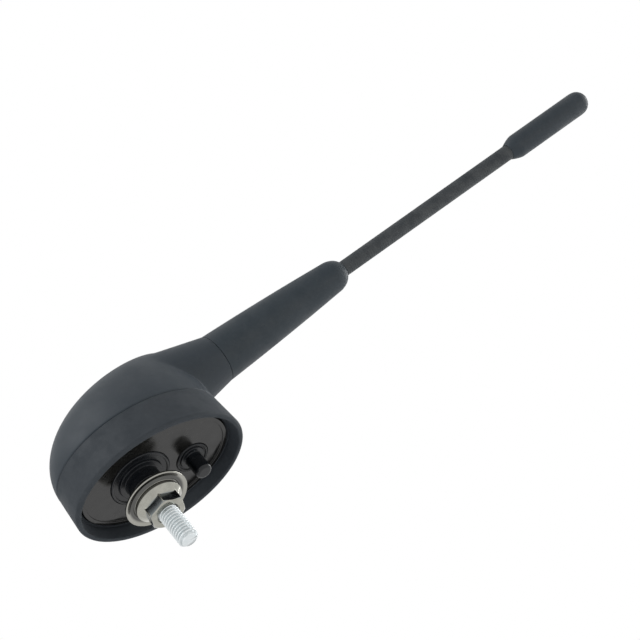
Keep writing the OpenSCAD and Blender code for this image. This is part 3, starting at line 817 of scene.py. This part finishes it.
# %% Soften the small contact parts
def softened(name, source, width, segments=3):
    """A copy of a solid's mesh, merged, with its edges bevelled and its curved faces smooth."""
    mesh = bmesh.new()
    mesh.from_mesh(nodes[source].data)
    bmesh.ops.remove_doubles(mesh, verts=mesh.verts, dist=2e-6)
    bmesh.ops.dissolve_limit(mesh, angle_limit=radians(0.5), verts=mesh.verts, edges=mesh.edges)
    copy = bpy.data.meshes.new(name)
    mesh.to_mesh(copy)
    mesh.free()
    copy.shade_smooth()
    piece = placed(name, copy)
    bevel = piece.modifiers.new("edge", "BEVEL")
    bevel.width, bevel.segments, bevel.limit_method = width * MM, segments, "ANGLE"
    bevel.angle_limit, bevel.harden_normals = radians(28), True
    return settled(piece)


for name, source, slot, width in (
        ("strip", "contact_strip", "brass_strip", 0.12), ("screw", "strip_screw", "zinc_steel", 0.12),
        ("split_washer", "lock_washer", "zinc_steel", 0.1),
        ("socket", "mast_socket", "brass_socket", 0.12)):
    part = softened(name, source, width)
    stands_for(part, "base", slot, source)
    print(name, "has", len(part.data.polygons), "faces")

# %% [markdown]
# ## What the finishes share
# A black plastic part is never one black. The mould's etched surface leaves a fine grain, the pigment
# and the light touch of hands leave clouds, and dust and hairline scratches break the gloss. Each of
# these effects is a node group with named inputs, built once and placed in every material that
# needs it. A group only hands out colours, heights and values; the shader itself stays outside.

# %% Noise, and a colour between two
def noise(tree, place, scale, detail=3.0, rough=0.55, stretch=(1, 1, 1), shift=(0, 0, 0), turn=(0, 0, 0)):
    """Noise at a place in millimetres; the scale is features per millimetre."""
    place = node(tree, "ShaderNodeMapping", Vector=place, Scale=stretch, Location=shift, Rotation=turn)
    return Term(node(tree, "ShaderNodeTexNoise", Vector=place, Scale=scale, Detail=detail, Roughness=rough))


def blend(tree, share, low, high):
    """A colour between two colours."""
    made = node(tree, "ShaderNodeMix", {"data_type": "RGBA"}, share)
    put(low, made.inputs[6])
    put(high, made.inputs[7])
    return made.outputs[2]


# %% The grain that an etched mould leaves
tree, given = start_tree("Shader", "moulded_grain", {"Place": "Vector", "Grain": 0.35}, {"Height": "Float"})
place, fine = given["Place"], given["Grain"] ** -1.0
cells = node(tree, "ShaderNodeTexVoronoi", {"feature": "SMOOTH_F1"}, Vector=place, Scale=fine,
             Smoothness=0.6)
height = Term(cells.outputs["Distance"]) * 0.6 + noise(tree, place, fine * 1.7, 2.0) * 0.4
node(tree, "NodeGroupOutput", Height=height)

# %% Clouds of colour
tree, given = start_tree("Shader", "clouded", {
    "Place": "Vector", "Patch": 6.0, "Low": "Color", "High": "Color", "Contrast": 1.0}, {"Color": "Color"})
wide = noise(tree, given["Place"], given["Patch"] ** -1.0, 4.0)
small = noise(tree, given["Place"], (given["Patch"] * 0.17) ** -1.0, shift=(31, 7, 12))
half = given["Contrast"] ** -1.0 * 0.22
cloud = ramped(wide * 0.65 + small * 0.35, 0.5 - half, half + 0.5)
node(tree, "NodeGroupOutput", Color=blend(tree, cloud, given["Low"], given["High"]))

# %% Dust, hairlines and rubbed spots
tree, given = start_tree("Shader", "handled", {
    "Place": "Vector", "Smooth": 0.4, "Dull": 0.6, "Lines": 0.5, "Dust": 0.3},
    {"Roughness": "Float", "Dust": "Float", "Height": "Float"})
place, smooth, dull = given["Place"], given["Smooth"], given["Dull"]
rubbed = ramped(noise(tree, place, 0.16, 4.0), 0.38, 0.66)
streaks = [noise(tree, place, 2.6, 1.0, 0.5, (0.045, 1, 1), shift, turn)
           for turn, shift in (((0.3, 0.9, 0.4), (3, 5, 9)), ((1.2, 0.2, 2.0), (17, 2, 4)))]
one, other = (ramped((streak - 0.5).math("ABSOLUTE"), 0.012, 0.002) for streak in streaks)
thin = ramped(noise(tree, place, 0.5, 2.0, shift=(5, 40, 2)), 0.55, 0.7)
lines = one.math("MAXIMUM", other) * thin * given["Lines"]
specks = node(tree, "ShaderNodeTexVoronoi", Vector=place, Scale=0.9)
dust = ramped(Term(specks.outputs["Distance"]), 0.1, 0.03) * given["Dust"]
rough = (smooth + (dull - smooth) * rubbed + lines * 0.25 + dust * 0.3).math("MINIMUM", 1.0)
node(tree, "NodeGroupOutput", Roughness=rough, Dust=dust.math("MAXIMUM", lines * 0.4), Height=dust - lines)
print("effects:", [group.name for group in bpy.data.node_groups if group.type == "SHADER"])

# %% [markdown]
# ## One place for every material
# Every finished piece lies at the origin with its place in its mesh, so Object coordinates are
# places in the antenna. A Mapping node turns them into millimetres, the unit in which grain is easy
# to think about, and for the mast it also turns them so that z runs along it, for a pattern to follow.

# %% Lay out a material
def material(name, specular=0.5, along=False):
    """A material with its shader, and its places in millimetres, turned to the mast where asked."""
    made = bpy.data.materials.new(name)
    made.use_nodes = True
    tree = made.node_tree
    shader = tree.nodes["Principled BSDF"]
    shader.inputs["Specular IOR Level"].default_value = specular
    turn = {"Location": tuple(-(along_mast.to_3x3().inverted() @ mast_joint) / MM),
            "Rotation": (0, -mast_turn, 0)} if along else {}
    place = tree.nodes.new("ShaderNodeTexCoord").outputs["Object"]
    return made, tree, shader, node(tree, "ShaderNodeMapping", Vector=place, Scale=(1 / MM,) * 3, **turn)


def effect(tree, name, place, **inputs):
    """Places a shared effect with its own values."""
    return node(tree, "ShaderNodeGroup", {"node_tree": bpy.data.node_groups[name]}, place, **inputs).outputs


# %% Colour a shader and raise its surface
def coloured(tree, shader, place, clouds, marks, dusty):
    """Gives a shader clouds of two colours under some dust, and the roughness of handling."""
    low, high, patch, contrast = clouds
    smooth, dull, lines, dust = marks
    clouded = effect(tree, "clouded", place, Patch=patch, Low=(*low, 1), High=(*high, 1), Contrast=contrast)
    handled = effect(tree, "handled", place, Smooth=smooth, Dull=dull, Lines=lines, Dust=dust)
    shade = blend(tree, handled["Dust"], clouded["Color"], dusty)
    put(shade, shader.inputs["Base Color"])
    put(handled["Roughness"], shader.inputs["Roughness"])
    return shade, Term(handled["Height"])


def bump(shader, height, depth):
    """Raises the surface by a share of a depth in millimetres, on top of what raises it already."""
    made = node(shader.id_data, "ShaderNodeBump", Height=height, Distance=depth * MM)
    for link in shader.inputs["Normal"].links:
        put(link.from_socket, made.inputs["Normal"])
    put(made, shader.inputs["Normal"])


def radius_of(tree, place):
    """How far a place lies from the z axis, and its height, as terms in millimetres."""
    x, y, z = split(tree, place)
    return (x * x + y * y).math("SQRT"), z


# %% [markdown]
# ## Matt plastic and rubber
# The cover and the mast's pieces are moulded and matt, with a cold blue-grey tint. They all share
# one recipe: clouds of colour, rubbed roughness, and a grain. Only the sizes differ: the cover is
# finer and smoother than the skirt's rubber. The sleeve is mottled, because it stretched unevenly when
# it was shrunk over the wire, and the wire's turns show through as faint rings 0.8 mm apart.

# %% Mix the matt materials
def matt(name, low, high, patch, smooth, dull, grain, depth, contrast=1.0, lines=0.4, dust=0.3,
         specular=0.3, along=False, ribs=None):
    """Matt moulded plastic or rubber. ribs is the pitch of a winding that shows through."""
    made, tree, shader, place = material(name, specular, along)
    marks = coloured(tree, shader, place, (low, high, patch, contrast), (smooth, dull, lines, dust),
                     (0.16, 0.165, 0.17, 1))[1]
    etched = effect(tree, "moulded_grain", place, Grain=grain)
    bump(shader, marks * 0.3 + etched["Height"], depth)
    if ribs:
        x, y, z = split(tree, place)
        wound = (z / ribs - y.math("ARCTAN2", x) / (2 * pi)) * (2 * pi)
        bump(shader, wound.math("COSINE") * 0.5 + 0.5, 0.03)
    return made


looks = {
    "cover": matt("cover_matt", (0.033, 0.043, 0.053), (0.040, 0.050, 0.061), 9, 0.52, 0.58, 0.22, 0.012,
                  specular=0.25),
    "skirt_rubber": matt("skirt_matt", (0.035, 0.042, 0.050), (0.044, 0.052, 0.061), 7, 0.6, 0.75, 0.3, 0.02,
                         specular=0.25),
    "grip_rubber": matt("grip_matt", (0.024, 0.034, 0.043), (0.034, 0.045, 0.055), 5, 0.5, 0.62, 0.3, 0.02,
                        along=True),
    "cap_rubber": matt("cap_matt", (0.024, 0.033, 0.042), (0.033, 0.043, 0.053), 4, 0.48, 0.6, 0.3, 0.02,
                       along=True),
    "seal_rubber": matt("seal_smooth", (0.018,) * 3, (0.028,) * 3, 2, 0.35, 0.5, 0.2, 0.008),
    "sleeve_rubber": matt("sleeve_mottled", (0.032, 0.038, 0.044), (0.068, 0.075, 0.080), 3.2, 0.55, 0.7, 0.4,
                          0.03, contrast=1.3, lines=0.6, dust=0.5, along=True, ribs=coil_sizes["Pitch"])}
print("matt finishes:", list(looks))

# %% [markdown]
# ## Gloss black plastic
# The plate and its seats are polished in the mould. What the eye sees on them is mostly the white
# surroundings, bent by slow waves in the surface where the plastic shrank, and dulled by a film.

# %% Mix the gloss materials
def gloss(name, low, high, smooth, dull, wave, depth, specular=0.5):
    """Smooth black plastic with shrink waves."""
    made, tree, shader, place = material(name, specular)
    coloured(tree, shader, place, (low, high, 8, 0.8), (smooth, dull, 0.8, 0.5), (0.08, 0.08, 0.08, 1))
    bump(shader, noise(tree, place, 1 / wave, 1.0), depth)
    return made


looks["plate_plastic"] = gloss("plate_gloss", (0.006,) * 3, (0.012, 0.012, 0.011), 0.1, 0.24, 7, 0.12)
looks["bush_plastic"] = gloss("bush_gloss", (0.005, 0.006, 0.008), (0.009, 0.011, 0.014), 0.16, 0.3, 4, 0.05,
                              specular=0.36)

# %% [markdown]
# ## Plated and rolled metal
# Zinc is laid on the stud as a thin, slightly frosted and bluish coat. The washer and the nut have a
# warmer, brighter nickel. The thread's roots are painted darker than its crests, a painted shade in
# the grooves: the distance from the axis tells the one from the other. The washer's channel is
# painted dark as shade, and the nut's flat faces as a dark reflection of the black base.

# %% Mix the metals
def plated(name, low, high, smooth, dull, brush, depth, root=None, shaded_channel=None, along=False):
    """Plated metal with a fine brushed grain. root holds the radii of a thread's root and crest, below
    which the colour is painted darker as shade. The channel's radii hold where a washer's channel begins
    and ends, with painted shade in it, and ask for a painted dark reflection on a nut's flat faces too."""
    made, tree, shader, place = material(name, along=along)
    shader.inputs["Metallic"].default_value = 1.0
    shade = coloured(tree, shader, place, (low, high, 1.6, 0.9), (smooth, dull, 0.9, 0.4),
                     (0.3, 0.29, 0.27, 1))[0]
    if root or shaded_channel:
        radius, height = radius_of(tree, place)
    if root:
        # The thread's roots: painted shade, the colour darker below the crest but not on the stud's end face.
        end = stud_thread["Start"]
        unshaded = ramped(radius, *root).math("MAXIMUM", ramped(height, end + 0.3, end + 0.05))
        shade = blend(tree, unshaded, (*(0.78 * part for part in low), 1), shade)
    if shaded_channel:
        # The nut's flat faces: a painted dark reflection of the black base.
        reflected_flats = ramped(radius, 4.8, 4.95) * ramped(radius, 5.68, 5.56)
        reflected_flats = reflected_flats * ramped(height, nut_end + 0.3, nut_end + 0.5) * ramped(height, -8.1, -8.4)
        shade = blend(tree, reflected_flats, shade, (0.20, 0.22, 0.225, 1))
        # The washer's channel: painted shade, darkest beside the nut and back to the brim's colour outside.
        dished = blend(tree, ramped(radius, *shaded_channel[2:]), (0.10, 0.10, 0.095, 1), (0.34, 0.335, 0.305, 1))
        shade = blend(tree, ramped(radius, *shaded_channel[:2]), shade, dished)
    put(shade, shader.inputs["Base Color"])
    bump(shader, noise(tree, place, 1 / brush, 2.0, stretch=(1, 1, 0.12)), depth)
    return made


looks["zinc_steel"] = plated("zinc_coat", (0.66, 0.71, 0.725), (0.77, 0.80, 0.81), 0.26, 0.36, 0.25, 0.004,
                             root=(2.42, 3.0))
looks["nickel_steel"] = plated("nickel_coat", (0.31, 0.31, 0.275), (0.39, 0.385, 0.345), 0.09, 0.18, 0.3,
                               0.0025, shaded_channel=(7.02, 7.12, 8.0, 8.9))
looks["brass_strip"] = plated("brass_rolled", (0.62, 0.44, 0.18), (0.74, 0.56, 0.26), 0.22, 0.38, 0.3,
                              0.012)
looks["brass_socket"] = plated("brass_turned", (0.6, 0.43, 0.19), (0.72, 0.55, 0.27), 0.25, 0.4, 0.2, 0.015,
                               along=True)
looks["copper_wire"] = plated("copper_enamelled", (0.55, 0.22, 0.10), (0.72, 0.33, 0.17), 0.25, 0.35, 0.2,
                              0.006, along=True)

# %% [markdown]
# The rod is drawn glass fibre: pale yellowish resin with fine fibres that run along it, so its
# noise is stretched along the mast.

# %% Mix the glass fibre and hand out the looks
made, tree, shader, place = material("glass_fibre_rod", along=True)
fibres = ramped(noise(tree, place, 7.0, stretch=(1, 1, 0.03)), 0.3, 0.7)
put(blend(tree, fibres, (0.52, 0.47, 0.31, 1), (0.74, 0.70, 0.54, 1)), shader.inputs["Base Color"])
marks = effect(tree, "handled", place, Smooth=0.35, Dull=0.5, Lines=0.3, Dust=0.2)
put(marks["Roughness"], shader.inputs["Roughness"])
bump(shader, fibres, 0.02)
looks["glass_fibre"] = made
for piece, slot in wearers:
    piece.data.materials.clear()
    piece.data.materials.append(looks[slot])
print(len(looks), "finishes on", len(wearers), "pieces")
